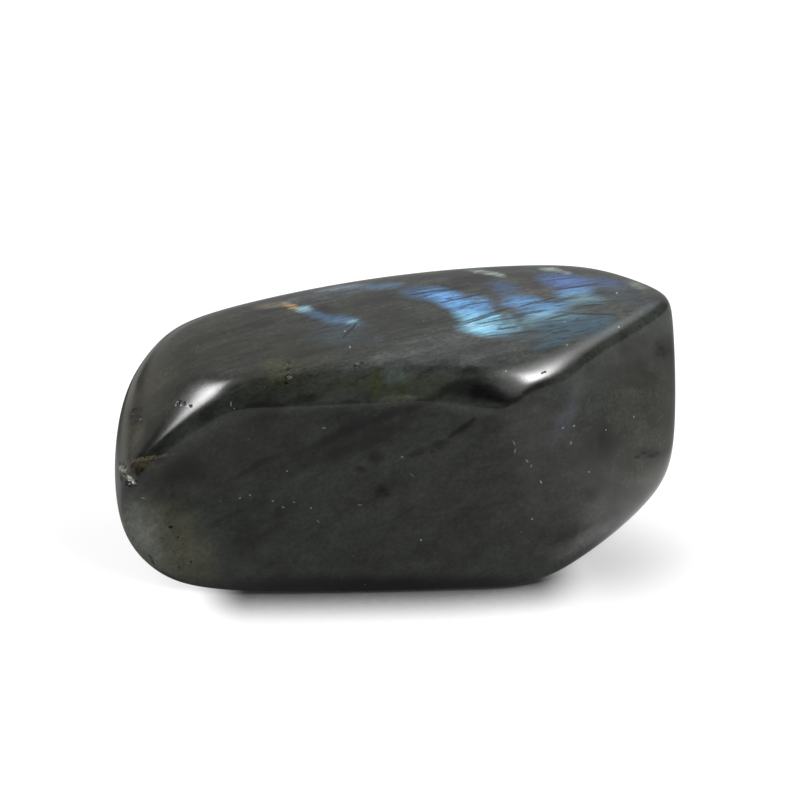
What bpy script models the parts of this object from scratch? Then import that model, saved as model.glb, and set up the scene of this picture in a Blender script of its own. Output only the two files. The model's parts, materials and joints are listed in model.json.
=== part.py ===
"""Polished labradorite freeform: one solid stone, ground flat underneath so that it rests on a shelf.

Lengths in the tables are millimetres and angles are degrees; the model itself is in metres, +Z up.
The origin is the middle of the bounding box's floor, X runs along the stone and -Y is its front.
"""
import math
from collections import namedtuple

import bmesh
import bpy
import numpy as np

MM = 0.001

# Point inside the stone that every facet's distance is measured from.
HEART = (0.0, 0.0, 22.0)

# A facet is a ground face. It faces `bearing` (0 is the front, 90 is +X) and `tilt` (90 is straight up),
# lies `reach` from the heart, bulges like a ball of radius `crown`, and `round` softens its edges.
Facet = namedtuple("Facet", "name bearing tilt reach crown round")
FACETS = (
    Facet("top", -21, 81, 24.0, 400, 1.2),
    Facet("base", 0, -90, 23.0, 900, 1.6),
    Facet("front", -11, 5, 22.5, 700, 0.7),
    Facet("right front", 29, 7, 34.0, 300, 1.8),
    Facet("right corner", 4, 46, 30.5, 300, 0.4),
    Facet("front corner", 6, 6, 27.5, 300, 0.4),
    Facet("right back", 135, -7, 42.5, 300, 2.5),
    Facet("back", -179, 9, 24.0, 300, 3.3),
    Facet("left end", -109, 3, 54.0, 100, 1.8),
    Facet("left top", -112, 49, 57.5, 100, 2.3),
    Facet("left crest", -32, 44, 35.0, 200, 0.7),
    Facet("left shoulder", -66, 54, 41.0, 120, 2.2),
    Facet("left underside", -74, -48, 49.5, 200, 3.0),
    Facet("right underside", 43, -41, 43.5, 300, 1.9),
    Facet("back underside", 166, -45, 35.0, 200, 3.0),
)

# The long bevel between the top and the front stops short of the right corner, which stands proud of it.
BEVEL = Facet("bevel", -14, 46, 27.0, None, 0.5)
BEVEL_STOP = Facet("bevel stop", 127, 0, -5.0, None, 0.5)

# Half lengths of the ball that the surface is drawn from, and the fineness of its triangles.
BALL_HALF = (55.0, 27.0, 25.0)
BALL_SUBDIVISIONS = 7
FARTHEST = 90.0
HALVINGS = 40
TRIANGLES = 5600
WELD = 0.02

STONE_NAME = "labradorite_stone"
STONE_COLOUR = (0.045, 0.048, 0.044, 1.0)
STONE_ROUGHNESS = 0.12
STONE_METALLIC = 0.0
SHARP_ANGLE = 35.0


def clear_scene():
    """Remove the scene's objects."""
    for thing in list(bpy.data.objects):
        bpy.data.objects.remove(thing, do_unlink=True)


def facing(facet):
    """Unit vector that a facet faces."""
    bearing = math.radians(facet.bearing)
    tilt = math.radians(facet.tilt)
    flat = math.cos(tilt)
    return np.array([math.sin(bearing) * flat, -math.cos(bearing) * flat, math.sin(tilt)])


def stone_level(offsets):
    """Level of points given as offsets from the heart: below zero inside the stone, zero on its surface.

    The facets are joined by a soft maximum, which rounds the edges where they meet.
    """
    squared = (offsets * offsets).sum(axis=-1)
    levels = []
    for facet in FACETS:
        height = offsets @ facing(facet)
        bulge = (squared - height * height) / (2.0 * facet.crown)
        levels.append((height - facet.reach + bulge) / facet.round)
    beyond_bevel = offsets @ facing(BEVEL) - BEVEL.reach
    before_stop = BEVEL_STOP.reach - offsets @ facing(BEVEL_STOP)
    soft = BEVEL_STOP.round
    cut = -soft * np.logaddexp(-beyond_bevel / soft, -before_stop / soft)
    levels.append(cut / BEVEL.round)
    return np.logaddexp.reduce(np.stack(levels), axis=0)


def surface_points(directions):
    """Points where rays from the heart leave the stone, found by halving the span between in and out."""
    near = np.zeros(len(directions))
    far = np.full(len(directions), FARTHEST)
    for _ in range(HALVINGS):
        middle = (near + far) / 2.0
        inside = stone_level(directions * middle[:, None]) < 0.0
        near = np.where(inside, middle, near)
        far = np.where(inside, far, middle)
    return directions * near[:, None] + np.array(HEART)


def stone_blank():
    """Object with the whole rounded surface: a ball whose vertices are moved out to the stone's skin."""
    bm = bmesh.new()
    bmesh.ops.create_icosphere(bm, subdivisions=BALL_SUBDIVISIONS, radius=1.0)
    directions = np.array([vert.co[:] for vert in bm.verts]) * np.array(BALL_HALF)
    directions /= np.linalg.norm(directions, axis=1, keepdims=True)
    for vert, point in zip(bm.verts, surface_points(directions)):
        vert.co = point * MM
    mesh = bpy.data.meshes.new("stone_blank")
    bm.to_mesh(mesh)
    bm.free()
    return bpy.data.objects.new("stone_blank", mesh)


def thinned(blank, collection):
    """Mesh of the blank with fewer triangles where it is nearly flat."""
    collection.objects.link(blank)
    thin = blank.modifiers.new("thin_out", "DECIMATE")
    thin.decimate_type = "COLLAPSE"
    thin.ratio = TRIANGLES / len(blank.data.polygons)
    bpy.context.view_layer.update()
    evaluated = blank.evaluated_get(bpy.context.evaluated_depsgraph_get())
    mesh = bpy.data.meshes.new_from_object(evaluated)
    bpy.data.objects.remove(blank, do_unlink=True)
    return mesh


def grind_base(mesh):
    """Cut the mesh flat at the floor and centre its bounding box over the origin."""
    bm = bmesh.new()
    bm.from_mesh(mesh)
    everything = bm.verts[:] + bm.edges[:] + bm.faces[:]
    bmesh.ops.bisect_plane(bm, geom=everything, dist=WELD * MM, plane_co=(0.0, 0.0, 0.0),
                           plane_no=(0.0, 0.0, -1.0), clear_outer=True)
    bmesh.ops.dissolve_degenerate(bm, edges=bm.edges[:], dist=WELD * MM)
    for vert in bm.verts:
        if abs(vert.co.z) < WELD * MM:
            vert.co.z = 0.0
    rim = [edge for edge in bm.edges if edge.is_boundary]
    bmesh.ops.contextual_create(bm, geom=rim)
    bmesh.ops.triangulate(bm, faces=bm.faces[:])
    bmesh.ops.recalc_face_normals(bm, faces=bm.faces[:])
    points = np.array([vert.co[:] for vert in bm.verts])
    middle = (points.min(axis=0) + points.max(axis=0)) / 2.0
    bmesh.ops.translate(bm, vec=(-middle[0], -middle[1], -points[:, 2].min()), verts=bm.verts[:])
    bm.to_mesh(mesh)
    bm.free()


def stone_material():
    """Dark grey-green polished feldspar."""
    material = bpy.data.materials.new("polished_labradorite")
    material.use_nodes = True
    shader = material.node_tree.nodes["Principled BSDF"]
    shader.inputs["Base Color"].default_value = STONE_COLOUR
    shader.inputs["Roughness"].default_value = STONE_ROUGHNESS
    shader.inputs["Metallic"].default_value = STONE_METALLIC
    return material


def build_stone(collection):
    """The finished stone as one named object."""
    mesh = thinned(stone_blank(), collection)
    mesh.name = STONE_NAME
    grind_base(mesh)
    mesh.shade_smooth()
    mesh.set_sharp_from_angle(angle=math.radians(SHARP_ANGLE))
    mesh.materials.append(stone_material())
    stone = bpy.data.objects.new(STONE_NAME, mesh)
    collection.objects.link(stone)
    return stone


clear_scene()
labradorite = bpy.data.collections.new("Polished labradorite freeform")
bpy.context.scene.collection.children.link(labradorite)
build_stone(labradorite)
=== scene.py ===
"""Polished labradorite freeform standing on a white studio floor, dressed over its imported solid.

Tables give lengths in millimetres and angles in degrees; the scene itself is in metres, +Z up.
"""
import json
import math
from collections import namedtuple

import bmesh
import bpy
import numpy as np
from mathutils import Matrix, Vector, noise as turbulence

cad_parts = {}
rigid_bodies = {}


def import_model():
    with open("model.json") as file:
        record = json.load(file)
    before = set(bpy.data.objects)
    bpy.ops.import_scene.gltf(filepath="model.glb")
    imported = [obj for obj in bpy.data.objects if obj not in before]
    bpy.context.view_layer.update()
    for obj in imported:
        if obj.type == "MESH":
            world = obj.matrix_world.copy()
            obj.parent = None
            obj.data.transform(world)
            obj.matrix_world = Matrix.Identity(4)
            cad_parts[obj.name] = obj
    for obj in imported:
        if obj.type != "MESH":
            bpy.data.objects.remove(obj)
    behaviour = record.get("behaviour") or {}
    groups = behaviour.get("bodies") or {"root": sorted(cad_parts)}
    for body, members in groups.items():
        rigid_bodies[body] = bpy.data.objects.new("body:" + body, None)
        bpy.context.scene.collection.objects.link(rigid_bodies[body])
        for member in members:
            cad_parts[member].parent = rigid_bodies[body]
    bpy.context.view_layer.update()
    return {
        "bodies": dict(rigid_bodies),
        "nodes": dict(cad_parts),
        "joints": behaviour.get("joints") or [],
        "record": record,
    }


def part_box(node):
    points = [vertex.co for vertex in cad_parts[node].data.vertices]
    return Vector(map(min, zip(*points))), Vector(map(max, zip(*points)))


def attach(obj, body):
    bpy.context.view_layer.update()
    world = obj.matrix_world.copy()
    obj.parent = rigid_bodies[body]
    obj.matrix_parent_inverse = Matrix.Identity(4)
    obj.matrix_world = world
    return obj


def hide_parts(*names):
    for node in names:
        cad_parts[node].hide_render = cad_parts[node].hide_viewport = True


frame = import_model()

CAD_NODE = "labradorite_stone"
BODY = "root"
MM = 0.001

# Camera, as read from the photograph: where it stands round the stone, how far off, and its focal length.
PHOTO_SIDE = 800
CAMERA_BEARING = -14.0
CAMERA_RISE = 25.0
CAMERA_DISTANCE = 430.0
FOCAL_PIXELS = 2222.0
SENSOR_WIDTH = 36.0
HEART_PIXEL = (398.0, 432.0)

# Facets of the stone, as in the solid: direction faced (bearing 0 is the front and 90 is +X, tilt 90 is up),
# distance from the heart, radius of the ball it is crowned like, and edge softness. Only the bevel's edges
# are crisper here than in the solid.
HEART_HEIGHT = 22.0
Facet = namedtuple("Facet", "name bearing tilt reach crown round")
FACETS = (
    Facet("top", -21, 81, 24.0, 400, 1.2),
    Facet("base", 0, -90, 23.0, 900, 1.6),
    Facet("front", -11, 5, 22.5, 700, 0.7),
    Facet("right front", 29, 7, 34.0, 300, 1.8),
    Facet("right corner", 4, 46, 30.5, 300, 0.4),
    Facet("front corner", 6, 6, 27.5, 300, 0.4),
    Facet("right back", 135, -7, 42.5, 300, 2.5),
    Facet("back", -179, 9, 24.0, 300, 3.3),
    Facet("left end", -109, 3, 54.0, 100, 1.8),
    Facet("left top", -112, 49, 57.5, 100, 2.3),
    Facet("left crest", -32, 44, 35.0, 200, 0.7),
    Facet("left shoulder", -66, 54, 41.0, 120, 2.2),
    Facet("left underside", -74, -48, 49.5, 200, 3.0),
    Facet("right underside", 43, -41, 43.5, 300, 1.9),
    Facet("back underside", 166, -45, 35.0, 200, 3.0),
)
BEVEL = Facet("bevel", -14, 46, 27.0, None, 0.3)
BEVEL_STOP = Facet("bevel stop", 127, 0, -5.0, None, 0.5)

# Small worn facet where the bevel runs out, a few tenths of a millimetre deep, on the visible skin alone.
WORN_FACET = Facet("worn corner", -8, 22, 26.2, 300, 0.2)

# Nicks broken or worn out of the visible skin, each at a pixel of the photograph.
Nick = namedtuple("Nick", "x y radius depth")
NICKS = (
    Nick(124, 472, 1.9, 0.55),
    Nick(131, 480, 1.2, 0.35),
    Nick(120, 464, 1.0, 0.25),
    Nick(178, 404, 0.45, 0.16),
    Nick(184, 403, 0.4, 0.14),
    Nick(191, 406, 0.35, 0.12),
    Nick(134, 412, 0.5, 0.15),
    Nick(141, 419, 0.5, 0.15),
    Nick(287, 364, 0.4, 0.12),
    Nick(289, 377, 0.5, 0.15),
    Nick(357, 364, 0.4, 0.12),
    Nick(545, 372, 0.25, 0.1),
    Nick(541, 482, 0.35, 0.1),
    Nick(171, 526, 0.35, 0.12),
    Nick(191, 561, 0.3, 0.1),
)

# How finely the mesh is split round a nick, and how far its rim wavers and its depth varies.
NICK_SPLITS = 4
NICK_FINENESS = 6.0
NICK_RIM = 1.4
NICK_WAVER = 0.35
NICK_SHARE = 0.75
NICK_RAGGED = 0.6
NICK_STEEPNESS = 1.6

# Surface mesh: a ball moved out to the skin, then split where it turns by more than each angle in turn.
BALL_HALF = (55.0, 27.0, 25.0)
BALL_SUBDIVISIONS = 7
FARTHEST = 90.0
HALVINGS = 26
REFINE_ANGLES = (2.5, 3.0, 3.5)
REFINE_LENGTH = 0.3
ABOVE_BASE = 0.01
NORMAL_STEP = 0.05
LEAST_FALL = 1e-9

# How far before and beyond the heart a sight line is searched for the skin, and how finely.
SIGHT_SPAN = 80.0
SIGHT_STEPS = 321
SIGHT_HALVINGS = 20

# The skin is dressed in three regions, so that each carries only the marks that lie on it. A face is on top
# if the upward part of its normal is over TOP_UPWARD, and else at the back if the part towards the camera is
# under BACK_TURNED. A region takes a mark that comes within MARK_MARGIN millimetres of it.
REGIONS = ("top", "front", "back")
TOP_UPWARD = 0.85
BACK_TURNED = -0.1
MARK_MARGIN = 1.8

# Studio, with bearings from the camera's side. The air is bright behind the stone and dark before it.
BACKLIGHT_BEARING = -165.0
BACKLIGHT_RISE = 26.5
BACKLIGHT_EDGE = (0.35, 0.6)
DARK_SIDE = 0.03
BRIGHT_SIDE = 0.4

# Floor: what it gives back to the stone, with darker and paler patches at bearings from the camera's side, so
# far `away` from the origin, with half extents `deep` in that direction and `wide` across it. The darker
# patches are painted shade and the paler one a painted pool of light, seen only in the stone's reflections
# and bounced light.
FLOOR_HALF = 3.0
FLOOR_DROP = 0.0001
FLOOR_ALBEDO = 0.3
PATCH_EDGE = 0.6
FloorPatch = namedtuple("FloorPatch", "bearing away deep wide albedo")
FLOOR_PAINTED_SHADE_AND_LIGHT = (
    FloorPatch(3, 130, 200, 110, 0.13),
    FloorPatch(104, 155, 85, 90, 0.12),
    FloorPatch(112, 55, 32, 45, 0.7),
    FloorPatch(-140, 130, 90, 70, 0.06),
)

# How the camera sees the floor: partly lit and partly glowing, under two elliptical shades given in pixels.
# `edge` is how much of the way in a shade takes to fill. The contact shade is as dark as the stone shuts the
# floor in within CONTACT_REACH, and the wide one is even.
FLOOR_LIFTED = 0.25
FLOOR_GLOW = 0.8
Shade = namedtuple("Shade", "pixel half edge darkest")
CONTACT = Shade((392, 590), (205, 120), 0.3, 0.03)
CONTACT_REACH = 18.0
CONTACT_SPAN = (0.5, 0.98)
CONTACT_SAMPLES = 10
WIDE_SHADE = Shade((590, 560), (150, 75), 1.0, 0.6)

# Softboxes hung in the air: where each is, its half extents along a slanting axis and across it, in degrees,
# and its light.
Softbox = namedtuple("Softbox", "bearing rise slant along across radiance")
SOFTBOXES = (
    Softbox(-87, 49, 135, 30, 10, 16.0),
    Softbox(-88, 50, 135, 34, 20, 3.0),
    Softbox(55, 40, 45, 28, 12, 22.0),
    Softbox(54, 40, 45, 42, 20, 7.0),
    Softbox(100, 46, 0, 36, 28, 2.5),
    Softbox(172, 42, 0, 60, 50, 0.15),
    Softbox(-158, 13, 0, 15, 8, 0.45),
)

# Black card low at the left behind the stone, and how much of the air's light it takes away.
CARD = Softbox(-132, 0, 0, 18, 11, 0.0)
CARD_TAKES = 0.75
CARD_EDGE = 0.5

# Grain of the feldspar: pixels along one cleavage line on the top and along one vein on the front.
TOP_GRAIN = ((450, 318), (520, 304))
FRONT_GRAIN = ((330, 447), (470, 381))

# Marks lie over a pixel of the photograph. `along` and `across` are half lengths in pixels at which the mark
# has faded out, and `rise` is how many degrees the long axis climbs to the right. Colours are linear.
# MARK_DEPTH is how deep a mark reaches: at least, more per pixel of length, and at most.
Mark = namedtuple("Mark", "x y along across rise colour strength")
MARK_DEPTH = (1.5, 0.1, 5.0)
BODY_DARK = (0.007, 0.008, 0.007, 1.0)
BODY_MIDDLE = (0.026, 0.029, 0.025, 1.0)
CRACK_DARK = (0.006, 0.007, 0.008, 1.0)
PIT_DARK = (0.002, 0.002, 0.002, 1.0)
LINT_WHITE = (0.27, 0.285, 0.27, 1.0)

# Polish: gloss of the feldspar, its least and most roughness, how much rougher worn places and cracks are,
# how metallic the flashing sheets look, and the height of the grain left in the polish.
STONE_IOR = 1.57
POLISH = (0.10, 0.15)
WORN_ROUGHER = 0.4
FLASH_METAL = 0.25
RELIEF = 0.005

# Noises of the stone. Sizes are millimetres along the grain, across it and through it, and `shift` keeps them
# apart from each other.
Noise = namedtuple("Noise", "sizes detail roughness shift")
CLOUD = Noise((14.0, 6.0, 14.0), 5.0, 0.62, 11.0)
SWEEP = Noise((16.0, 2.4, 16.0), 3.0, 0.55, 8.0)
MOTTLE = Noise((4.5, 2.6, 4.5), 6.0, 0.68, 3.0)
STREAK = Noise((8.0, 0.9, 8.0), 5.0, 0.6, 5.0)
FLECK = Noise((0.9, 0.6, 0.9), 4.0, 0.65, 2.0)
FRAY = Noise((4.0, 0.5, 4.0), 5.0, 0.65, 4.0)
WEAVE = Noise((1.6, 0.28, 1.6), 4.0, 0.7, 6.0)
CRACK_LINES = Noise((9.0, 1.1, 9.0), 1.0, 0.5, 9.0)

# Ways in which places are pushed about, by up to half of `pull` millimetres, so that marks have uneven edges.
Warp = namedtuple("Warp", "swirl pull")
TORN = Warp(Noise((5.0, 0.32, 5.0), 4.0, 0.6, 0.0), (2.4, 0.5, 1.6))
SWAYED = Warp(Noise((6.0, 3.0, 6.0), 4.0, 0.6, 7.0), (3.0, 1.6, 3.0))
BENT = Warp(Noise((3.0, 1.5, 3.0), 4.0, 0.6, 3.0), (0.8, 0.4, 0.8))

# Scattered dots: about how far apart, their radius, and the share of them that is kept.
Dots = namedtuple("Dots", "apart radius share")
PIT_DOTS = Dots(0.62, 0.2, 0.75)
DUST_DOTS = Dots(2.0, 0.11, 0.3)

# What a region's colours are built from: places on the skin, how far it faces up, and the shared noises.
Skin = namedtuple("Skin", "place torn swayed bent upward mottle streak fleck")

# How much of the way in a mark of each kind takes to fill.
CORES = {"zones": 0.8, "veins": 0.8, "pits": 0.5, "lint": 0.6, "holes": 0.5, "rust": 0.7, "worn": 0.8,
         "flashes": 1.05, "seams": 0.7, "cracks": 0.3}

# Tints of the cloudy body, and painted shade and painted reflections where noted.
ZONES = (
    Mark(470, 345, 200, 34, 6, (0.034, 0.038, 0.036), 0.8),
    Mark(310, 345, 140, 40, 12, (0.012, 0.012, 0.006), 0.7),
    Mark(530, 300, 120, 30, 4, (0.043, 0.045, 0.042), 0.8),
    Mark(630, 320, 60, 30, 20, (0.032, 0.037, 0.033), 0.7),
    Mark(380, 383, 130, 18, 1, (0.020, 0.023, 0.016), 0.8),
    Mark(265, 388, 60, 16, 8, (0.013, 0.014, 0.011), 0.7),
    Mark(395, 374, 22, 14, 0, (0.048, 0.059, 0.054), 0.7),
    Mark(377, 382, 12, 22, 0, (0.022, 0.027, 0.011), 0.8),
    Mark(402, 388, 9, 9, 0, (0.018, 0.022, 0.010), 0.8),
    Mark(410, 399, 46, 6, 0, (0.072, 0.075, 0.048), 0.6),
    Mark(281, 368, 26, 18, 0, (0.032, 0.033, 0.014), 0.6),
    Mark(470, 500, 270, 130, 5, (0.029, 0.031, 0.027), 0.9),
    # Painted shade: darker along the lower front, and near black along its bottom edge where the floor's
    # shadow is reflected.
    Mark(400, 550, 280, 44, 2, (0.024, 0.026, 0.023), 0.7),
    Mark(380, 586, 220, 14, 0, (0.001, 0.001, 0.001), 0.9),
    Mark(245, 450, 120, 52, 22, (0.024, 0.025, 0.022), 0.8),
    Mark(182, 472, 34, 22, 0, (0.008, 0.007, 0.004), 0.7),
    # Pale lower left: partly the stone's own paler colour and partly a painted reflection of the white floor.
    Mark(142, 545, 64, 42, -62, (0.135, 0.148, 0.125), 0.95),
    Mark(180, 545, 78, 40, -62, (0.062, 0.062, 0.040), 0.85),
    Mark(140, 390, 90, 44, 66, (0.042, 0.040, 0.028), 0.9),
    Mark(126, 440, 40, 16, 80, (0.050, 0.045, 0.026), 0.8),
    Mark(210, 340, 90, 40, 32, (0.016, 0.015, 0.008), 0.7),
    Mark(560, 470, 100, 90, 60, (0.024, 0.024, 0.021), 0.7),
    Mark(650, 420, 120, 60, 80, (0.038, 0.038, 0.031), 0.85),
    Mark(567, 416, 50, 12, 65, (0.038, 0.039, 0.050), 0.55),
    # Painted reflection: pale strip along the lower right edge, where the white floor is reflected.
    Mark(589, 539, 72, 11, 30, (0.077, 0.079, 0.075), 0.8),
    Mark(466, 372, 20, 8, 4, (0.010, 0.011, 0.009), 0.8),
    Mark(325, 295, 70, 6, 9, (0.060, 0.070, 0.085), 0.5),
    Mark(136, 414, 26, 18, -40, (0.016, 0.013, 0.006), 0.7),
    Mark(132, 398, 20, 8, 70, (0.075, 0.070, 0.048), 0.6),
    Mark(138, 433, 18, 7, 60, (0.080, 0.074, 0.050), 0.6),
    Mark(383, 357, 16, 8, 8, (0.055, 0.061, 0.062), 0.6),
    # Painted shade: near black in the pocket where the bevel runs out.
    Mark(482, 391, 36, 16, -12, (0.002, 0.002, 0.002), 1.0),
    Mark(503, 397, 24, 10, -14, (0.000, 0.000, 0.000), 1.0),
)

# Dark veins and blotches.
VEINS = (
    Mark(455, 388, 34, 9, 26, None, 0.95),
    Mark(420, 404, 36, 9, 24, None, 1.0),
    Mark(385, 416, 34, 7, 22, None, 0.9),
    Mark(340, 434, 60, 7, 22, None, 0.8),
    Mark(350, 447, 70, 12, 24, None, 0.6),
    Mark(255, 466, 44, 5, 26, None, 0.7),
    Mark(462, 390, 24, 10, 24, None, 0.9),
    Mark(462, 428, 22, 6, 36, None, 1.0),
    Mark(440, 444, 14, 5, 20, None, 0.8),
    Mark(418, 452, 16, 5, 16, None, 0.75),
    Mark(374, 457, 12, 9, 0, None, 0.8),
    Mark(361, 468, 11, 5, -10, None, 0.7),
    Mark(382, 491, 12, 10, 20, None, 1.0),
    Mark(477, 447, 9, 4, -20, None, 0.5),
    Mark(410, 511, 18, 4, 30, None, 0.4),
    Mark(365, 528, 44, 4, 16, None, 0.35),
    Mark(326, 545, 12, 4, 60, None, 0.4),
    Mark(268, 533, 28, 4, 25, None, 0.4),
    Mark(648, 454, 22, 10, 8, None, 0.6),
    Mark(661, 349, 11, 16, 0, None, 0.5),
    Mark(590, 494, 11, 12, 0, None, 0.9),
    Mark(600, 455, 34, 22, 50, None, 0.3),
    Mark(640, 492, 18, 10, 30, None, 0.5),
    Mark(587, 528, 9, 4, 40, None, 0.5),
    Mark(555, 552, 34, 8, 20, None, 0.35),
    Mark(630, 385, 30, 6, -10, None, 0.35),
    Mark(324, 308, 14, 4, 0, None, 0.7),
    Mark(400, 319, 24, 8, -10, None, 0.6),
    Mark(219, 352, 40, 4, 14, None, 0.5),
    Mark(300, 345, 60, 5, 12, None, 0.45),
    Mark(200, 372, 60, 6, 26, None, 0.4),
    Mark(170, 385, 50, 5, 36, None, 0.4),
    Mark(410, 345, 70, 4, 5, None, 0.35),
    Mark(470, 350, 40, 8, 10, None, 0.3),
    Mark(262, 310, 30, 2, 8, None, 0.6),
    Mark(330, 318, 24, 3, 8, None, 0.4),
    Mark(250, 335, 46, 3, 16, None, 0.5),
    Mark(230, 345, 50, 3, 18, None, 0.5),
    Mark(190, 360, 40, 3, 26, None, 0.5),
    Mark(215, 366, 50, 3, 22, None, 0.5),
    Mark(360, 330, 40, 4, 10, None, 0.45),
    Mark(395, 312, 30, 6, -4, None, 0.45),
    Mark(430, 325, 30, 5, 6, None, 0.4),
    Mark(440, 275, 40, 4, 6, None, 0.4),
)

# Places strewn with small dark dots.
PITS = (
    Mark(136, 414, 18, 13, -30, None, 1.0),
    Mark(181, 403, 7, 4, 0, None, 1.0),
    Mark(190, 404, 7, 5, 40, None, 0.9),
    Mark(288, 370, 8, 16, 0, None, 1.0),
    Mark(359, 364, 10, 5, 20, None, 1.0),
    Mark(224, 333, 12, 4, 0, None, 0.9),
    Mark(500, 368, 16, 9, 0, None, 0.25),
    Mark(172, 548, 34, 26, -50, None, 0.35),
    Mark(648, 455, 18, 8, 8, None, 0.8),
    Mark(661, 349, 8, 11, 0, None, 0.9),
    Mark(382, 491, 9, 8, 0, None, 0.8),
    Mark(385, 318, 24, 10, 0, None, 0.5),
)

# Pale lint and dust.
LINT = (
    Mark(541, 482, 2.3, 1.0, -60, None, 0.8),
    Mark(514, 443, 3.4, 0.8, -65, None, 0.48),
    Mark(515, 451, 3.4, 0.8, 75, None, 0.48),
    Mark(527, 461, 2.8, 0.8, -50, None, 0.56),
    Mark(531, 466, 2.3, 0.8, 60, None, 0.48),
    Mark(563, 428, 1.7, 1.3, 0, None, 0.48),
    Mark(574, 426, 1.7, 1.0, 30, None, 0.64),
    Mark(571, 443, 0.9, 2.3, 0, None, 0.56),
    Mark(532, 519, 1.3, 1.1, 0, None, 0.72),
    Mark(421, 540, 1.2, 1.3, 0, None, 0.8),
    Mark(402, 457, 1.7, 1.1, 0, None, 0.56),
    Mark(412, 475, 3.4, 0.8, -50, None, 0.28),
    Mark(324, 428, 2.8, 0.8, -8, None, 0.56),
    Mark(287, 471, 1.1, 1.1, 0, None, 0.64),
    Mark(250, 495, 1.1, 1.1, 0, None, 0.72),
    Mark(240, 498, 1.9, 1.0, 40, None, 0.48),
    Mark(273, 501, 1.5, 1.1, 0, None, 0.64),
    Mark(283, 507, 2.3, 1.1, -20, None, 0.48),
    Mark(294, 502, 1.1, 1.1, 0, None, 0.56),
    Mark(311, 508, 1.1, 1.1, 0, None, 0.64),
    Mark(318, 521, 2.3, 0.8, -40, None, 0.4),
    Mark(360, 505, 2.8, 0.8, 0, None, 0.4),
    Mark(231, 404, 0.7, 3.4, 0, None, 0.56),
    Mark(143, 498, 2.8, 0.8, -10, None, 0.56),
    Mark(350, 347, 1.1, 1.5, 0, None, 0.64),
    Mark(345, 331, 1.2, 1.1, 0, None, 0.8),
    Mark(617, 293, 1.2, 1.3, 0, None, 0.8),
    Mark(619, 327, 1.3, 1.4, 0, None, 0.8),
    Mark(567, 345, 1.1, 1.1, 0, None, 0.64),
    Mark(544, 313, 1.1, 1.1, 0, None, 0.64),
    Mark(565, 322, 1.1, 1.1, 0, None, 0.56),
    Mark(634, 417, 1.1, 1.5, 0, None, 0.48),
    Mark(606, 430, 1.1, 1.1, 0, None, 0.48),
    Mark(589, 472, 1.1, 1.4, 0, None, 0.4),
    Mark(506, 371, 1.3, 1.1, 0, None, 0.64),
)

# Single small dark holes and flecks.
HOLES = (
    Mark(289, 362, 3, 2, 0, None, 0.9),
    Mark(288, 369, 3.4, 2, 10, None, 1.0),
    Mark(287, 377, 3, 2.8, 0, None, 1.0),
    Mark(286, 383, 3, 1.6, 0, None, 0.9),
    Mark(304, 369, 1.6, 1.4, 0, None, 0.8),
    Mark(356, 365, 4.5, 2, 25, None, 0.9),
    Mark(362, 363, 2.4, 1.6, 0, None, 0.9),
    Mark(134, 410, 4, 2.6, 30, None, 1.0),
    Mark(131, 416, 3, 2, 0, None, 1.0),
    Mark(138, 416, 2.6, 2, 0, None, 0.9),
    Mark(141, 410, 2, 1.6, 0, None, 0.8),
    Mark(137, 421, 2.4, 1.6, 0, None, 0.9),
    Mark(142, 422, 1.6, 1.4, 0, None, 0.7),
    Mark(179, 404, 4, 1.7, 10, None, 0.9),
    Mark(190, 408, 2, 1.4, 30, None, 0.9),
    Mark(198, 402, 1.8, 1.3, 30, None, 0.9),
    Mark(193, 405, 1.4, 1.2, 0, None, 0.8),
    Mark(171, 527, 3, 2, 0, None, 1.0),
    Mark(178, 537, 1.8, 1.4, 0, None, 0.8),
    Mark(191, 562, 1.8, 1.5, 0, None, 0.9),
    Mark(179, 567, 1.6, 1.3, 0, None, 0.8),
    Mark(657, 343, 3, 2, 30, None, 0.8),
    Mark(661, 348, 4.5, 3, -20, None, 0.8),
    Mark(664, 354, 3, 2, 0, None, 0.8),
    Mark(658, 355, 2, 2, 0, None, 0.7),
    Mark(637, 457, 4, 2, 10, None, 0.8),
    Mark(644, 453, 4, 2, 0, None, 0.8),
    Mark(651, 456, 5, 2.4, 0, None, 0.9),
    Mark(658, 453, 3, 2, 0, None, 0.8),
    Mark(382, 490, 4, 3, 20, None, 0.8),
    Mark(387, 494, 3, 2, 0, None, 0.7),
    Mark(454, 434, 9, 2.6, 36, None, 0.55),
    Mark(463, 428, 10, 3, 34, None, 0.7),
    Mark(472, 421, 7, 2.6, 38, None, 0.65),
    Mark(441, 448, 3.4, 1.8, 20, None, 0.5),
    Mark(432, 452, 3, 2, 0, None, 0.5),
    Mark(422, 453, 2.6, 1.6, 0, None, 0.45),
    Mark(412, 456, 3, 1.8, 0, None, 0.45),
    Mark(361, 468, 6, 2.4, -10, None, 0.45),
    Mark(373, 457, 5, 3, 0, None, 0.3),
    Mark(590, 494, 3, 4, 0, None, 0.5),
    Mark(600, 456, 4, 3, 40, None, 0.35),
    Mark(224, 333, 4, 1.6, 0, None, 0.8),
    Mark(234, 331, 2.6, 1.4, 0, None, 0.7),
    Mark(324, 308, 6, 2, 0, None, 0.6),
)

# Rust-brown crack at the left end and the pale chip on it.
RUST = (
    Mark(148, 458, 32, 2.6, 8, (0.13, 0.11, 0.06), 0.6),
    Mark(140, 466, 26, 9, 8, (0.060, 0.050, 0.028), 0.6),
    Mark(124, 471, 13, 8, -50, (0.12, 0.11, 0.085), 0.8),
    Mark(121, 468, 6, 3, -50, (0.55, 0.54, 0.47), 0.7),
    Mark(129, 478, 7, 3, -40, (0.75, 0.74, 0.66), 0.9),
    Mark(133, 482, 5, 2, -30, (0.50, 0.49, 0.42), 0.8),
)

# Places where the polish is dull.
WORN = (
    Mark(125, 473, 16, 11, -50, None, 1.0),
    Mark(128, 425, 50, 18, 78, None, 0.35),
    Mark(150, 460, 34, 6, 8, None, 0.5),
)
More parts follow.
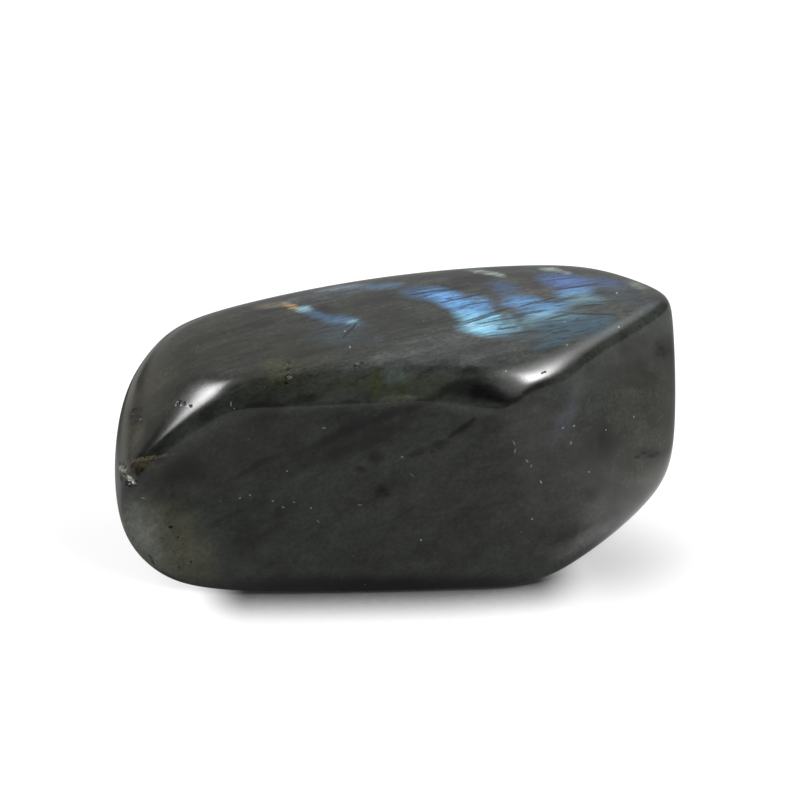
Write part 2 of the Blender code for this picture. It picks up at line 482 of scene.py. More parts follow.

# Colours of the flashes: the labradorescent sheen, painted into the base colour.
BLUE = (0.13, 0.34, 0.66)
ROYAL = (0.06, 0.13, 0.27)
CYAN = (0.24, 0.56, 0.76)
PALE_CYAN = (0.36, 0.66, 0.82)
TEAL = (0.13, 0.25, 0.31)
DIM_TEAL = (0.042, 0.095, 0.135)
VIOLET = (0.08, 0.155, 0.37)
SKY = (0.11, 0.26, 0.46)
PALE_GREEN = (0.38, 0.47, 0.41)
STRAW = (0.28, 0.34, 0.29)
GOLD = (0.45, 0.29, 0.13)
HAZE = (0.045, 0.062, 0.075)

# Sheets that flash in colour on the top, their sheen painted into the colour and made partly metallic.
FLASHES = (
    Mark(428, 293, 36, 10, -2, ROYAL, 0.9),
    Mark(448, 298, 34, 12, -14, BLUE, 0.95),
    Mark(468, 308, 38, 13, -18, BLUE, 0.95),
    Mark(486, 303, 24, 8, -26, BLUE, 0.7),
    Mark(480, 320, 36, 11, -14, CYAN, 0.9),
    Mark(500, 317, 22, 7, -8, CYAN, 0.75),
    Mark(486, 329, 38, 10, -4, CYAN, 0.9),
    Mark(478, 326, 22, 6, 6, PALE_CYAN, 0.7),
    Mark(516, 326, 32, 9, 6, TEAL, 0.95),
    Mark(506, 289, 26, 12, -22, ROYAL, 0.5),
    Mark(524, 302, 32, 9, 2, BLUE, 0.75),
    Mark(546, 308, 38, 11, 10, SKY, 0.95),
    Mark(556, 317, 46, 9, 5, TEAL, 0.8),
    Mark(541, 313, 22, 6, 10, CYAN, 0.4),
    Mark(568, 326, 66, 17, 6, DIM_TEAL, 0.85),
    Mark(598, 322, 22, 11, 20, DIM_TEAL, 0.8),
    Mark(566, 282, 38, 13, -8, VIOLET, 1.0),
    Mark(573, 292, 30, 7, 6, SKY, 0.9),
    Mark(585, 299, 30, 9, -4, TEAL, 0.75),
    Mark(604, 283, 34, 9, -8, VIOLET, 0.4),
    Mark(624, 296, 44, 14, -14, HAZE, 0.6),
    Mark(556, 340, 34, 8, 20, DIM_TEAL, 0.6),
    Mark(484, 272, 24, 3.4, -8, PALE_GREEN, 0.65),
    Mark(500, 275, 10, 3, -12, STRAW, 0.6),
    Mark(550, 269, 15, 3.4, -5, PALE_GREEN, 0.6),
    Mark(564, 272, 10, 3, -10, STRAW, 0.45),
    Mark(637, 285, 16, 5, -22, PALE_GREEN, 0.25),
    Mark(384, 286, 30, 5, 5, SKY, 0.4),
    Mark(345, 287, 40, 4, 7, (0.26, 0.34, 0.42), 0.45),
    Mark(274, 305, 26, 5, 6, (0.26, 0.22, 0.13), 0.4),
    Mark(291, 306, 13, 4, -14, GOLD, 0.85),
    Mark(304, 309, 12, 5, 8, PALE_CYAN, 0.5),
    Mark(317, 315, 20, 6, -14, SKY, 0.3),
    Mark(342, 321, 28, 9, -8, SKY, 0.55),
    Mark(352, 322, 9, 4, 10, PALE_CYAN, 0.6),
    Mark(340, 332, 46, 20, 0, HAZE, 0.8),
    Mark(379, 339, 8, 5, 0, HAZE, 0.5),
)

# Dull seams between the flashes.
SEAMS = (
    Mark(477, 289, 28, 7, -22, None, 0.9),
    Mark(499, 309, 22, 7, -48, None, 0.75),
    Mark(524, 325, 20, 5, -34, None, 0.5),
    Mark(536, 289, 30, 10, -30, None, 0.95),
    Mark(520, 280, 18, 8, -30, None, 0.8),
)

# Hair cracks.
CRACKS = (
    Mark(427, 292, 24, 1.1, 9, None, 0.8),
    Mark(462, 298, 30, 1.1, 12, None, 0.8),
    Mark(489, 314, 30, 1.2, 17, None, 0.8),
    Mark(500, 320, 32, 1.1, 9, None, 0.8),
    Mark(508, 328, 14, 1.1, 9, None, 0.8),
    Mark(560, 316, 20, 1.2, 14, None, 0.8),
    Mark(595, 314, 30, 1.2, -1, None, 0.8),
    Mark(576, 287, 28, 1.1, 8, None, 0.8),
    Mark(537, 302, 22, 1.1, 14, None, 0.8),
    Mark(592, 305, 14, 1.1, 3, None, 0.7),
    Mark(483, 318, 24, 1.2, 17, None, 0.8),
    Mark(560, 300, 26, 1.2, 10, None, 0.6),
    Mark(474, 304, 26, 1.0, 10, None, 0.7),
    Mark(350, 330, 14, 1.2, 48, None, 0.95),
    Mark(515, 333, 34, 1.2, 6, None, 0.7),
    Mark(170, 576, 26, 1.0, -26, None, 0.7),
    Mark(448, 290, 20, 1.2, 9, None, 0.7),
    Mark(530, 313, 26, 1.2, 10, None, 0.7),
    Mark(545, 322, 30, 1.0, 6, None, 0.5),
    Mark(600, 302, 24, 1.0, 4, None, 0.5),
    Mark(560, 279, 24, 1.0, 7, None, 0.5),
    Mark(345, 346, 4, 1.1, 20, None, 0.6),
    Mark(152, 560, 8, 1.2, -60, None, 0.8),
    Mark(275, 309, 18, 1.2, 10, None, 0.7),
)


def direction(bearing, tilt):
    """Unit vector for a bearing from the front and a tilt above the horizon."""
    a = math.radians(bearing)
    e = math.radians(tilt)
    return np.array([math.sin(a) * math.cos(e), -math.cos(a) * math.cos(e), math.sin(e)])


def stone_level(offsets):
    """Below zero inside the stone, zero on its surface; offsets are from the heart."""
    squared = (offsets * offsets).sum(axis=-1)
    levels = []
    for facet in (*FACETS, WORN_FACET):
        height = offsets @ direction(facet.bearing, facet.tilt)
        bulge = (squared - height * height) / (2.0 * facet.crown)
        levels.append((height - facet.reach + bulge) / facet.round)
    beyond_bevel = offsets @ direction(BEVEL.bearing, BEVEL.tilt) - BEVEL.reach
    before_stop = BEVEL_STOP.reach - offsets @ direction(BEVEL_STOP.bearing, BEVEL_STOP.tilt)
    soft = BEVEL_STOP.round
    cut = -soft * np.logaddexp(-beyond_bevel / soft, -before_stop / soft)
    levels.append(cut / BEVEL.round)
    return np.logaddexp.reduce(np.stack(levels), axis=0)


def surface_normals(offsets):
    """Outward unit normals from the slope of the level."""
    steps = np.eye(3) * NORMAL_STEP
    slope = np.stack([stone_level(offsets + s) - stone_level(offsets - s) for s in steps], axis=-1)
    return slope / np.linalg.norm(slope, axis=-1, keepdims=True)


def skin_offsets(directions):
    """Where rays from the heart leave the stone, stopped at the floor that the base is ground to."""
    near = np.zeros(len(directions))
    far = np.full(len(directions), FARTHEST)
    for _ in range(HALVINGS):
        middle = (near + far) / 2.0
        inside = stone_level(directions * middle[:, None]) < 0.0
        near = np.where(inside, middle, near)
        far = np.where(inside, far, middle)
    fall = np.maximum(-directions[:, 2], LEAST_FALL)
    return directions * np.minimum(near, HEART_HEIGHT / fall)[:, None]


def unit_rows(vectors):
    """Rows scaled to length one."""
    return vectors / np.linalg.norm(vectors, axis=-1, keepdims=True)


def edge_ends(bm):
    """Places of the mesh's vertices, and the numbers of the two at the ends of each edge."""
    bm.verts.ensure_lookup_table()
    bm.edges.ensure_lookup_table()
    points = np.array([v.co[:] for v in bm.verts])
    return points, np.array([(e.verts[0].index, e.verts[1].index) for e in bm.edges])


def split_edges(bm, chosen):
    """Halve the chosen edges and cut the faces beside them into triangles."""
    edges = [bm.edges[i] for i in np.nonzero(chosen)[0]]
    bmesh.ops.subdivide_edges(bm, edges=edges, cuts=1, use_grid_fill=True)
    bmesh.ops.triangulate(bm, faces=[f for f in bm.faces if len(f.verts) > 3])
    bm.verts.ensure_lookup_table()


def refine(bm, limit):
    """Split the edges whose ends face more than `limit` degrees apart, and move the points to the skin."""
    points, ends = edge_ends(bm)
    normals = surface_normals(points)
    turn = (normals[ends[:, 0]] * normals[ends[:, 1]]).sum(axis=1)
    length = np.linalg.norm(points[ends[:, 0]] - points[ends[:, 1]], axis=1)
    above_base = (points[ends, 2] > -HEART_HEIGHT + ABOVE_BASE).all(axis=1)
    split_edges(bm, (turn < math.cos(math.radians(limit))) & (length > REFINE_LENGTH) & above_base)
    points = np.array([v.co[:] for v in bm.verts])
    for vert, point in zip(bm.verts, skin_offsets(unit_rows(points))):
        vert.co = point


def cut_nicks(bm):
    """Split the triangles round each nick finely, then sink its points along the skin's inward normal."""
    centres = skin_points(*sight_lines([(nick.x, nick.y) for nick in NICKS]))
    radii = np.array([nick.radius for nick in NICKS])
    for _ in range(NICK_SPLITS):
        points, ends = edge_ends(bm)
        middles = points[ends].mean(axis=1)
        length = np.linalg.norm(points[ends[:, 0]] - points[ends[:, 1]], axis=1)
        away = np.linalg.norm(middles[:, None] - centres, axis=2)
        coarse = (away < radii * NICK_RIM) & (length[:, None] > radii / NICK_FINENESS)
        split_edges(bm, coarse.any(axis=1))
    points = skin_offsets(unit_rows(np.array([v.co[:] for v in bm.verts])))
    normals = surface_normals(points)
    away = np.linalg.norm(points[:, None] - centres, axis=2)
    for i in range(len(points)):
        sink = 0.0
        for nick, distance in zip(NICKS, away[i]):
            if distance > nick.radius * NICK_RIM:
                continue
            spot = Vector(points[i] / nick.radius)
            reach = nick.radius * (1.0 + NICK_WAVER * turbulence.noise(spot * 2.0))
            ragged = NICK_SHARE + NICK_RAGGED * turbulence.noise(spot * 4.0)
            inward = NICK_STEEPNESS * (1.0 - distance / reach)
            sink = max(sink, nick.depth * ragged * min(1.0, max(0.0, inward)))
        bm.verts[i].co = points[i] - normals[i] * sink


def stone_mesh():
    """Fine mesh of the stone in millimetres about its heart."""
    bm = bmesh.new()
    bmesh.ops.create_icosphere(bm, subdivisions=BALL_SUBDIVISIONS, radius=1.0)
    directions = unit_rows(np.array([v.co[:] for v in bm.verts]) * np.array(BALL_HALF))
    for vert, point in zip(bm.verts, skin_offsets(directions)):
        vert.co = point
    for limit in REFINE_ANGLES:
        refine(bm, limit)
    cut_nicks(bm)
    mesh = bpy.data.meshes.new("polished_stone")
    bm.to_mesh(mesh)
    bm.free()
    return mesh


def make_stone():
    """The stone's visible piece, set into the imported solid's box, and the heart's place in the scene."""
    mesh = stone_mesh()
    points = np.array([v.co[:] for v in mesh.vertices])
    low, high = points.min(axis=0), points.max(axis=0)
    cad_low, cad_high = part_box(CAD_NODE)
    middle = (np.array(cad_low) + np.array(cad_high)) / 2.0
    heart = Vector((middle[0] - (low[0] + high[0]) / 2.0 * MM, middle[1] - (low[1] + high[1]) / 2.0 * MM,
                    cad_low.z + HEART_HEIGHT * MM))
    mesh.transform(Matrix.Translation(heart) @ Matrix.Scale(MM, 4))
    mesh.shade_smooth()
    stone = bpy.data.objects.new("polished_stone", mesh)
    bpy.context.scene.collection.objects.link(stone)
    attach(stone, BODY)
    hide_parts(CAD_NODE)
    return stone, heart


def sight_lines(pixels):
    """The camera's place from the heart, in millimetres, and unit sight lines of the photograph's pixels."""
    back = direction(CAMERA_BEARING, CAMERA_RISE)
    right = np.cross((0.0, 0.0, 1.0), back)
    right /= np.linalg.norm(right)
    up = np.cross(back, right)
    across = (np.array(pixels, dtype=float) - np.array(HEART_PIXEL)) / FOCAL_PIXELS
    rows = across[:, :1] * right - across[:, 1:] * up - back
    return back * CAMERA_DISTANCE, unit_rows(rows)


def make_camera(heart):
    """Camera that puts the stone's heart on its pixel of the photograph."""
    back = Vector(direction(CAMERA_BEARING, CAMERA_RISE))
    right = Vector((math.cos(math.radians(CAMERA_BEARING)), math.sin(math.radians(CAMERA_BEARING)), 0.0))
    up = back.cross(right)
    pixel = CAMERA_DISTANCE * MM / FOCAL_PIXELS
    x, y = HEART_PIXEL
    aim = heart + right * (PHOTO_SIDE / 2 - x) * pixel + up * (y - PHOTO_SIDE / 2) * pixel
    data = bpy.data.cameras.new("photo_camera")
    data.sensor_width = SENSOR_WIDTH
    data.lens = SENSOR_WIDTH * FOCAL_PIXELS / PHOTO_SIDE
    data.clip_start = 0.01
    camera = bpy.data.objects.new("photo_camera", data)
    camera.location = heart + back * CAMERA_DISTANCE * MM
    camera.rotation_mode = "QUATERNION"
    camera.rotation_quaternion = (aim - camera.location).to_track_quat("-Z", "Y")
    bpy.context.scene.collection.objects.link(camera)
    bpy.context.scene.camera = camera


def skin_points(eye, sights):
    """Where sight lines from the camera first meet the stone, in millimetres from its heart."""
    steps = np.linspace(CAMERA_DISTANCE - SIGHT_SPAN, CAMERA_DISTANCE + SIGHT_SPAN, SIGHT_STEPS)
    points = eye + sights[:, None] * steps[:, None]
    inside = stone_level(points) < 0.0
    if not inside.any(axis=1).all():
        raise ValueError("a mark lies off the stone")
    first = inside.argmax(axis=1)
    near, far = steps[first - 1], steps[first]
    for _ in range(SIGHT_HALVINGS):
        middle = (near + far) / 2.0
        within = stone_level(eye + sights * middle[:, None]) < 0.0
        near, far = np.where(within, near, middle), np.where(within, middle, far)
    return eye + sights * far[:, None]


def skin_stretch(pixel):
    """Skin point under a pixel, its normal, and its tangent plane's steps for one pixel right and down."""
    x, y = pixel
    eye, sights = sight_lines([(x, y), (x + 1, y), (x, y + 1)])
    point = skin_points(eye, sights[:1])[0]
    normal = surface_normals(point[None])[0]
    reach = ((point - eye) @ normal) / (sights @ normal)
    met = eye + sights * reach[:, None]
    return point, normal, met[1] - met[0], met[2] - met[0]


def grain_axes():
    """Unit axes of the grain as columns: along the top's cleavage lines, across the cleavage, the third."""
    runs = []
    for start, end in (TOP_GRAIN, FRONT_GRAIN):
        eye, sights = sight_lines([start, end])
        points = skin_points(eye, sights)
        runs.append(points[1] - points[0])
    along = runs[0] / np.linalg.norm(runs[0])
    across = np.cross(runs[1], along)
    across /= np.linalg.norm(across)
    return np.stack([along, across, np.cross(along, across)], axis=1)


def mark_frame(mark, grain):
    """Centre, axes and half extents, in the grain's frame, of the ellipsoid that a mark is on the skin."""
    point, normal, right, down = skin_stretch((mark.x, mark.y))
    rise = math.radians(mark.rise)
    long_way = (right * math.cos(rise) - down * math.sin(rise)) * mark.along
    short_way = (right * math.sin(rise) + down * math.cos(rise)) * mark.across
    deep = min(MARK_DEPTH[0] + MARK_DEPTH[1] * mark.along, MARK_DEPTH[2])
    spans = grain.T @ np.stack([long_way, short_way, normal * deep], axis=1)
    axes, half, _ = np.linalg.svd(spans)
    axes[:, 2] *= np.linalg.det(axes)
    return grain.T @ point, axes, tuple(half)


def skin_regions(normals):
    """Number of the region that each normal belongs to."""
    turned = normals @ direction(CAMERA_BEARING, CAMERA_RISE) < BACK_TURNED
    return np.where(normals[:, 2] > TOP_UPWARD, 0, np.where(turned, 2, 1))


def placed_marks(marks, grain, points, regions):
    """For each region, the marks that reach it, with their frames.

    `points` are skin points in the grain's frame, and `regions` the number of the region of each.
    """
    placed = [[] for _ in REGIONS]
    for mark in marks:
        centre, axes, half = mark_frame(mark, grain)
        local = (points - centre) @ axes / (np.array(half) + MARK_MARGIN)
        for region in set(regions[(local * local).sum(axis=1) < 1.0].tolist()):
            placed[region].append((mark, centre, axes, half))
    return placed


def node(tree, kind, inputs, **settings):
    """A new node with its properties set and its inputs filled with values or linked to sockets."""
    made = tree.nodes.new("ShaderNode" + kind)
    for name, value in settings.items():
        setattr(made, name, value)
    for key, value in inputs.items():
        if isinstance(value, bpy.types.NodeSocket):
            tree.links.new(value, made.inputs[key])
        else:
            made.inputs[key].default_value = value
    return made


def maths(tree, operation, first, second=0.0):
    """Result of one sum on two numbers or sockets."""
    return node(tree, "Math", {0: first, 1: second}, operation=operation).outputs[0]


def fade(tree, value, span, result):
    """Smooth step from result[0] to result[1] as `value` crosses `span`."""
    ends = {"From Min": span[0], "From Max": span[1], "To Min": result[0], "To Max": result[1]}
    return node(tree, "MapRange", {"Value": value, **ends}, interpolation_type="SMOOTHSTEP").outputs[0]


def blend(tree, factor, first, second):
    """Colour between two colours or sockets."""
    return node(tree, "Mix", {0: factor, 6: first, 7: second}, data_type="RGBA").outputs[2]


def ellipsoid(tree, place, centre, axes, half):
    """One at the centre of an ellipsoid, falling evenly to zero at its skin; `axes` are unit columns."""
    turn = Matrix(axes.tolist()).to_euler()
    inputs = {"Vector": place, "Location": tuple(centre), "Rotation": turn, "Scale": half}
    local = node(tree, "Mapping", inputs, vector_type="TEXTURE").outputs[0]
    return node(tree, "TexGradient", {0: local}, gradient_type="SPHERICAL").outputs["Fac"]


def noise_node(tree, place, made):
    """Node that makes a noise of the stone from `place`."""
    scale = tuple(1.0 / size for size in made.sizes)
    inputs = {"Vector": place, "Scale": scale, "Location": (made.shift,) * 3}
    local = node(tree, "Mapping", inputs).outputs[0]
    settings = {"Scale": 1.0, "Detail": made.detail, "Roughness": made.roughness}
    return node(tree, "TexNoise", {"Vector": local, **settings})


def noise(tree, place, made):
    """A noise of the stone at `place`, from zero to one."""
    return noise_node(tree, place, made).outputs["Fac"]


def warped(tree, place, warp):
    """Place pushed about in one of the ways above."""
    swirl = noise_node(tree, place, warp.swirl).outputs["Color"]
    push = node(tree, "VectorMath", {0: swirl, 1: (-0.5, -0.5, -0.5)}, operation="ADD").outputs[0]
    push = node(tree, "VectorMath", {0: push, 1: warp.pull}, operation="MULTIPLY").outputs[0]
    return node(tree, "VectorMath", {0: place, 1: push}, operation="ADD").outputs[0]


def dots(tree, place, kind):
    """Mask of scattered dots, and a number that differs from dot to dot."""
    cells = node(tree, "TexVoronoi", {"Vector": place, "Scale": 1.0 / kind.apart})
    size = kind.radius / kind.apart
    near = fade(tree, cells.outputs["Distance"], (size * 0.6, size * 1.2), (1.0, 0.0))
    pick = node(tree, "SeparateXYZ", {0: cells.outputs["Color"]})
    kept = maths(tree, "LESS_THAN", pick.outputs[0], kind.share)
    return maths(tree, "MULTIPLY", near, kept), pick.outputs[1]


def marks_mask(tree, place, marks, kind):
    """Strongest of the region's marks of one kind at each point."""
    mask = 0.0
    for mark, *frame in marks[kind]:
        inside = ellipsoid(tree, place, *frame)
        this = fade(tree, inside, (0.0, CORES[kind]), (0.0, mark.strength))
        mask = maths(tree, "MAXIMUM", this, mask)
    return mask


def painted(tree, place, marks, kind, colour, gain, fray=1.0):
    """Colour with the region's marks of one kind laid over it in turn, and the strongest mark.

    `gain` weakens the marks and `fray` makes their edges reach out in some places and stay back in others.
    """
    mask = 0.0
    for mark, *frame in marks[kind]:
        inside = maths(tree, "MULTIPLY", ellipsoid(tree, place, *frame), fray)
        this = fade(tree, inside, (0.0, CORES[kind]), (0.0, mark.strength))
        this = maths(tree, "MULTIPLY", this, gain)
        colour = blend(tree, this, colour, (*mark.colour, 1.0))
        mask = maths(tree, "MAXIMUM", this, mask)
    return colour, mask


def skin_sockets(tree, heart, grain):
    """Places in the grain's frame in millimetres, plain and pushed about, and the shared noises."""
    held = node(tree, "TexCoord", {}).outputs["Object"]
    turn = Matrix(grain.tolist()).to_euler()
    inputs = {"Vector": held, "Location": tuple(heart), "Rotation": turn, "Scale": (MM, MM, MM)}
    place = node(tree, "Mapping", inputs, vector_type="TEXTURE").outputs[0]
    normal = node(tree, "TexCoord", {}).outputs["Normal"]
    swayed = warped(tree, place, SWAYED)
    bent = warped(tree, place, BENT)
    return Skin(
        place=place,
        torn=warped(tree, place, TORN),
        swayed=swayed,
        bent=bent,
        upward=node(tree, "SeparateXYZ", {0: normal}).outputs[2],
        mottle=noise(tree, swayed, MOTTLE),
        streak=noise(tree, bent, STREAK),
        fleck=noise(tree, place, FLECK),
    )


def body_colour(tree, skin, marks):
    """Dark cloudy feldspar with its zones, veins and rust, paler and darker along the grain; some zones are
    painted shade and painted reflections.
    """
    cloud = noise(tree, skin.swayed, CLOUD)
    colour = blend(tree, fade(tree, cloud, (0.32, 0.6), (0.0, 1.0)), BODY_DARK, BODY_MIDDLE)
    patchy = fade(tree, cloud, (0.25, 0.55), (0.6, 1.0))
    colour, _ = painted(tree, skin.swayed, marks, "zones", colour, patchy)
    broken = fade(tree, skin.fleck, (0.3, 0.6), (0.6, 1.0))
    dark = maths(tree, "MULTIPLY", marks_mask(tree, skin.swayed, marks, "veins"), broken)
    colour = blend(tree, dark, colour, BODY_DARK)
    flaked = fade(tree, skin.fleck, (0.35, 0.6), (0.2, 1.0))
    colour, _ = painted(tree, skin.bent, marks, "rust", colour, flaked)

    on_top = fade(tree, skin.upward, (0.8, 0.95), (0.0, 1.0))
    drift = maths(tree, "MULTIPLY", fade(tree, skin.streak, (0.3, 0.7), (-0.3, 0.3)), on_top)
    sway = fade(tree, skin.upward, (0.6, 0.95), (0.05, 0.2))
    sweep = fade(tree, noise(tree, skin.swayed, SWEEP), (0.3, 0.65), (-1.0, 1.0))
    sway = maths(tree, "MULTIPLY", sweep, sway)
    tone = maths(tree, "ADD", maths(tree, "ADD", drift, sway), 1.0)
    tone = maths(tree, "MULTIPLY", tone, fade(tree, skin.mottle, (0.3, 0.7), (0.8, 1.2)))
    grit = fade(tree, skin.upward, (0.6, 0.95), (0.18, 0.34))
    grit = maths(tree, "MULTIPLY", fade(tree, skin.fleck, (0.3, 0.7), (-1.0, 1.0)), grit)
    tone = maths(tree, "MULTIPLY", tone, maths(tree, "ADD", grit, 1.0))
    return node(tree, "VectorMath", {0: colour, "Scale": tone}, operation="SCALE").outputs[0]


def flash_colour(tree, skin, marks, body):
    """Body with the painted sheen of the flashing sheets, seams and hair cracks over it, how far it flashes,
    and the cracks.
    """
    sheet = fade(tree, skin.fleck, (0.3, 0.55), (0.8, 1.0))
    sheet = maths(tree, "MULTIPLY", fade(tree, skin.streak, (0.3, 0.55), (0.7, 1.0)), sheet)
    fray = fade(tree, noise(tree, skin.torn, FRAY), (0.32, 0.66), (0.65, 1.5))
    flash, lit = painted(tree, skin.torn, marks, "flashes", body, sheet, fray)
    weave = fade(tree, noise(tree, skin.bent, WEAVE), (0.3, 0.62), (0.68, 1.12))
    weave = node(tree, "Mix", {0: lit, 2: 1.0, 3: weave}).outputs[0]
    flash = node(tree, "VectorMath", {0: flash, "Scale": weave}, operation="SCALE").outputs[0]
    seam = marks_mask(tree, skin.swayed, marks, "seams")
    flash = blend(tree, seam, flash, body)
    lit = maths(tree, "MULTIPLY", lit, maths(tree, "SUBTRACT", 1.0, seam))

    lines = maths(tree, "SUBTRACT", noise(tree, skin.bent, CRACK_LINES), 0.5)
    lines = fade(tree, maths(tree, "ABSOLUTE", lines), (0.0, 0.07), (0.75, 0.0))
    lines = maths(tree, "MULTIPLY", lines, fade(tree, lit, (0.1, 0.4), (0.0, 1.0)))
    lines = maths(tree, "MULTIPLY", lines, fade(tree, skin.mottle, (0.4, 0.55), (0.1, 1.0)))
    crack = maths(tree, "MAXIMUM", marks_mask(tree, skin.bent, marks, "cracks"), lines)
    lit = maths(tree, "MULTIPLY", lit, maths(tree, "SUBTRACT", 1.0, crack))
    return blend(tree, crack, flash, CRACK_DARK), lit, crack


def speckled(tree, skin, marks, colour):
    """Colour with dark dots and holes over it, and then pale dust and lint."""
    pit, _ = dots(tree, skin.bent, PIT_DOTS)
    pit = maths(tree, "MULTIPLY", pit, marks_mask(tree, skin.swayed, marks, "pits"))
    pit = maths(tree, "MAXIMUM", pit, marks_mask(tree, skin.place, marks, "holes"))
    colour = blend(tree, pit, colour, PIT_DARK)
    dust, faint = dots(tree, skin.place, DUST_DOTS)
    dust = maths(tree, "MULTIPLY", dust, fade(tree, faint, (0.0, 1.0), (0.1, 0.6)))
    lint = maths(tree, "MAXIMUM", marks_mask(tree, skin.place, marks, "lint"), dust)
    return blend(tree, lint, colour, LINT_WHITE)


def stone_material(name, heart, grain, marks):
    """Polished feldspar of one region, with the marks that lie on it."""
    material = bpy.data.materials.new(name)
    material.use_nodes = True
    tree = material.node_tree
    tree.nodes.clear()
    skin = skin_sockets(tree, heart, grain)
    body = body_colour(tree, skin, marks)
    colour, lit, crack = flash_colour(tree, skin, marks, body)
    colour = speckled(tree, skin, marks, colour)

    shine = node(tree, "BsdfPrincipled", {"Base Color": colour, "IOR": STONE_IOR})
    if marks["flashes"]:
        tree.links.new(maths(tree, "MULTIPLY", lit, FLASH_METAL), shine.inputs["Metallic"])
    worn = maths(tree, "MAXIMUM", marks_mask(tree, skin.swayed, marks, "worn"), crack)
    polish = fade(tree, skin.fleck, (0.3, 0.7), POLISH)
    rough = node(tree, "Math", {0: worn, 1: WORN_ROUGHER, 2: polish}, operation="MULTIPLY_ADD").outputs[0]
    tree.links.new(rough, shine.inputs["Roughness"])
    grained = {"Height": skin.fleck, "Strength": 1.0, "Distance": RELIEF * MM}
    tree.links.new(node(tree, "Bump", grained).outputs[0], shine.inputs["Normal"])
    node(tree, "OutputMaterial", {"Surface": shine.outputs[0]})
    return material


def dress_stone(stone, heart):
    """Give each region of the stone its material."""
    mesh = stone.data
    grain = grain_axes()
    corners = np.array([v.co[:] for v in mesh.vertices]) / MM - np.array(heart) / MM
    faces = np.array([p.vertices[:] for p in mesh.polygons])
    middles = corners[faces].mean(axis=1)
    regions = skin_regions(surface_normals(middles))
    points = middles @ grain
    tables = {"zones": ZONES, "veins": VEINS, "pits": PITS, "lint": LINT, "rust": RUST, "worn": WORN,
              "flashes": FLASHES, "seams": SEAMS, "cracks": CRACKS, "holes": HOLES}
    placed = {name: placed_marks(table, grain, points, regions) for name, table in tables.items()}
    for number, region in enumerate(REGIONS):
        marks = {name: lists[number] for name, lists in placed.items()}
        mesh.materials.append(stone_material("polished_labradorite_" + region, heart, grain, marks))
    mesh.polygons.foreach_set("material_index", regions.tolist())


def softbox_frame(box):
    """Centre, axes and half extents of a softbox in the unit sphere of directions."""
    centre = direction(CAMERA_BEARING + box.bearing, box.rise)
    level = np.cross((0.0, 0.0, 1.0), centre)
    level /= np.linalg.norm(level)
    slant = math.radians(box.slant)
    along = level * math.cos(slant) + np.cross(centre, level) * math.sin(slant)
    axes = np.stack([along, np.cross(centre, along), centre], axis=1)
    return centre, axes, (math.radians(box.along), math.radians(box.across), 1.0)


def studio_world():
    """Air of the studio: white to the camera, and for light and reflections bright behind with softboxes."""
    world = bpy.data.worlds.new("studio_air")
    bpy.context.scene.world = world
    world.use_nodes = True
    tree = world.node_tree
    tree.nodes.clear()
    place = node(tree, "TexCoord", {}).outputs["Generated"]
    behind = tuple(direction(CAMERA_BEARING + BACKLIGHT_BEARING, BACKLIGHT_RISE))
    facing = node(tree, "VectorMath", {0: place, 1: behind}, operation="DOT_PRODUCT").outputs["Value"]
    light = fade(tree, facing, BACKLIGHT_EDGE, (DARK_SIDE, BRIGHT_SIDE))
    card = ellipsoid(tree, place, *softbox_frame(CARD))
    light = maths(tree, "MULTIPLY", light, fade(tree, card, (0.0, CARD_EDGE), (1.0, 1.0 - CARD_TAKES)))
    for box in SOFTBOXES:
        glow = ellipsoid(tree, place, *softbox_frame(box))
        light = maths(tree, "ADD", light, fade(tree, glow, (0.0, 1.0), (0.0, box.radiance)))
    seen = node(tree, "Background", {"Color": (1, 1, 1, 1)}).outputs[0]
    rest = node(tree, "Background", {"Color": (1, 1, 1, 1), "Strength": light}).outputs[0]
    by_eye = node(tree, "LightPath", {}).outputs["Is Camera Ray"]
    mix = node(tree, "MixShader", {0: by_eye, 1: rest, 2: seen}).outputs[0]
    node(tree, "OutputWorld", {"Surface": mix})


def floor_point(pixel, heart):
    """Where the sight line of a pixel of the photograph meets the floor, in metres."""
    eye, sight = sight_lines([pixel])
    return Vector(heart) + Vector((eye - sight[0] * (eye[2] + HEART_HEIGHT) / sight[0][2]).tolist()) * MM


def shade_patch(tree, place, shade, tone, heart):
    """One outside an ellipse seen in the photograph's frame, passing to `tone` inside it."""
    x, y = shade.pixel
    centre = floor_point((x, y), heart)
    side = floor_point((x + shade.half[0], y), heart) - centre
    depth = floor_point((x, y + shade.half[1]), heart) - centre
    run = side.normalized()
    axes = np.stack([run, Vector((0, 0, 1)).cross(run), (0, 0, 1)], axis=1)
    patch = ellipsoid(tree, place, centre, axes, (side.length, depth.length, 1.0))
    patch = fade(tree, patch, (0.0, shade.edge), (0.0, 1.0))
    return node(tree, "Mix", {0: patch, 2: 1.0, 3: tone}).outputs[0]


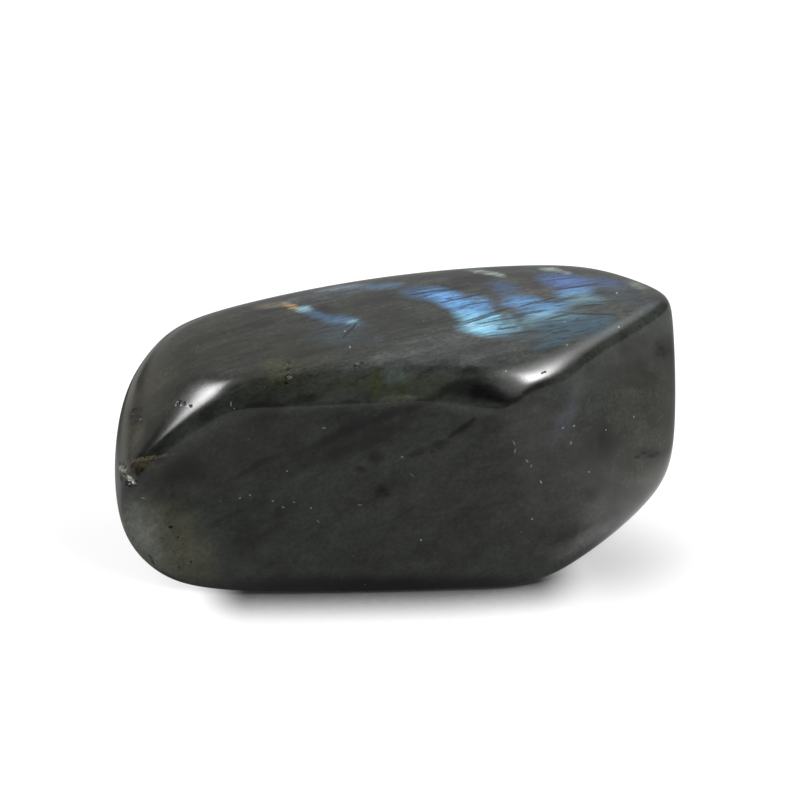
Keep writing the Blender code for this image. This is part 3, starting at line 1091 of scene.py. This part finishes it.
def floor_material(heart):
    """Pale floor, which the camera sees lifted to paper white and shaded under and beside the stone."""
    material = bpy.data.materials.new("white_floor")
    material.use_nodes = True
    tree = material.node_tree
    tree.nodes.clear()
    place = node(tree, "TexCoord", {}).outputs["Object"]

    # Albedo seen by reflections and bounced light, with painted shade and a painted pool of light on it.
    albedo = FLOOR_ALBEDO
    for patch in FLOOR_PAINTED_SHADE_AND_LIGHT:
        toward = direction(CAMERA_BEARING + patch.bearing, 0)
        axes = np.stack([toward, np.cross((0, 0, 1), toward), (0, 0, 1)], axis=1)
        half = (patch.deep * MM, patch.wide * MM, 1.0)
        inside = ellipsoid(tree, place, toward * patch.away * MM, axes, half)
        factor = fade(tree, inside, (0.0, PATCH_EDGE), (0.0, 1.0))
        albedo = node(tree, "Mix", {0: factor, 2: albedo, 3: patch.albedo}).outputs[0]
    plain = node(tree, "BsdfDiffuse", {"Color": albedo}).outputs[0]

    reach = {"Distance": CONTACT_REACH * MM}
    near = node(tree, "AmbientOcclusion", reach, samples=CONTACT_SAMPLES).outputs["AO"]
    close = fade(tree, near, CONTACT_SPAN, (CONTACT.darkest, 1.0))
    under = shade_patch(tree, place, CONTACT, close, heart)
    beside = shade_patch(tree, place, WIDE_SHADE, WIDE_SHADE.darkest, heart)
    tone = maths(tree, "MULTIPLY", under, beside)
    lifted = node(tree, "BsdfDiffuse", {"Color": maths(tree, "MULTIPLY", tone, FLOOR_LIFTED)}).outputs[0]
    glow = node(tree, "Emission", {"Color": tone, "Strength": FLOOR_GLOW}).outputs[0]
    both = node(tree, "AddShader", {0: lifted, 1: glow}).outputs[0]
    by_eye = node(tree, "LightPath", {}).outputs["Is Camera Ray"]
    mix = node(tree, "MixShader", {0: by_eye, 1: plain, 2: both}).outputs[0]
    node(tree, "OutputMaterial", {"Surface": mix})
    return material


def studio_floor(heart):
    """Floor sheet far wider than the picture."""
    bm = bmesh.new()
    bmesh.ops.create_grid(bm, x_segments=1, y_segments=1, size=FLOOR_HALF)
    mesh = bpy.data.meshes.new("studio_floor")
    bm.to_mesh(mesh)
    bm.free()
    floor = bpy.data.objects.new("studio_floor", mesh)
    floor.location = (0.0, 0.0, -FLOOR_DROP)
    bpy.context.scene.collection.objects.link(floor)
    mesh.materials.append(floor_material(heart))


stone, heart = make_stone()
dress_stone(stone, heart)
make_camera(heart)
bpy.context.scene.view_settings.view_transform = "Standard"
studio_world()
studio_floor(heart)
bpy.context.view_layer.update()
